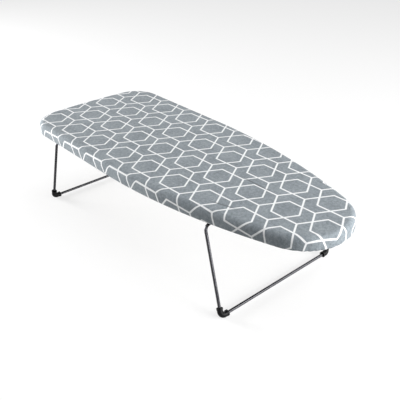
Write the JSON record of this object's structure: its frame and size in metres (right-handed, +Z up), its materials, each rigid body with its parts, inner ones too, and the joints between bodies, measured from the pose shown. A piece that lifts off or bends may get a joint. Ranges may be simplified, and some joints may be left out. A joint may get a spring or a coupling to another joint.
{
  "type": "tabletop ironing board",
  "caption": "Low tabletop ironing board: a padded, covered deck with a rounded nose and rounded rear corners, on wire legs that fold flat under it.",
  "frame": {"origin": "on the floor, under the middle of the board's length and width", "axes": "+X along the board to its nose, +Y to its left side, +Z up"},
  "size_m": [0.7299, 0.3032, 0.177],
  "materials": {
    "printed_cotton": "grey woven cotton with a white hexagon lattice print",
    "cotton_tape": "turned and sewn cotton",
    "elastic_tape": "knitted elastic",
    "foam_pad": "soft open-cell foam",
    "painted_steel": "light grey powder coat",
    "bright_steel": "zinc plated",
    "dark_chrome": "dark bright plating",
    "black_plastic": "satin moulded"
  },
  "bodies": {
    "board": {"cover": "printed_cotton", "hem_casing": "cotton_tape", "hem_elastic": "elastic_tape", "pad": "foam_pad", "deck_mesh": "painted_steel", "rim_frame": "painted_steel", "front_cross_rail": "painted_steel", "front_hinge_rivets": "bright_steel", "front_hinge_clip_left": "bright_steel", "front_hinge_clip_right": "bright_steel", "rear_cross_rail": "painted_steel", "rear_hinge_rivets": "bright_steel", "rear_hinge_clip_left": "bright_steel", "rear_hinge_clip_right": "bright_steel"},
    "front_leg": {"front_leg": "dark_chrome", "front_foot_left": "black_plastic", "front_foot_right": "black_plastic"},
    "rear_leg": {"rear_leg": "dark_chrome", "rear_foot_left": "black_plastic", "rear_foot_right": "black_plastic"}
  },
  "joints": [
    {"name": "front_leg_fold", "type": "hinge", "parent": "board", "child": "front_leg", "pos_m": [0.181, 0, 0.14785], "axis": [0, 1, 0], "range_deg": [0, 111]},
    {"name": "rear_leg_fold", "type": "hinge", "parent": "board", "child": "rear_leg", "pos_m": [-0.2675, 0, 0.14785], "axis": [0, -1, 0], "range_deg": [0, 101]}
  ]
}
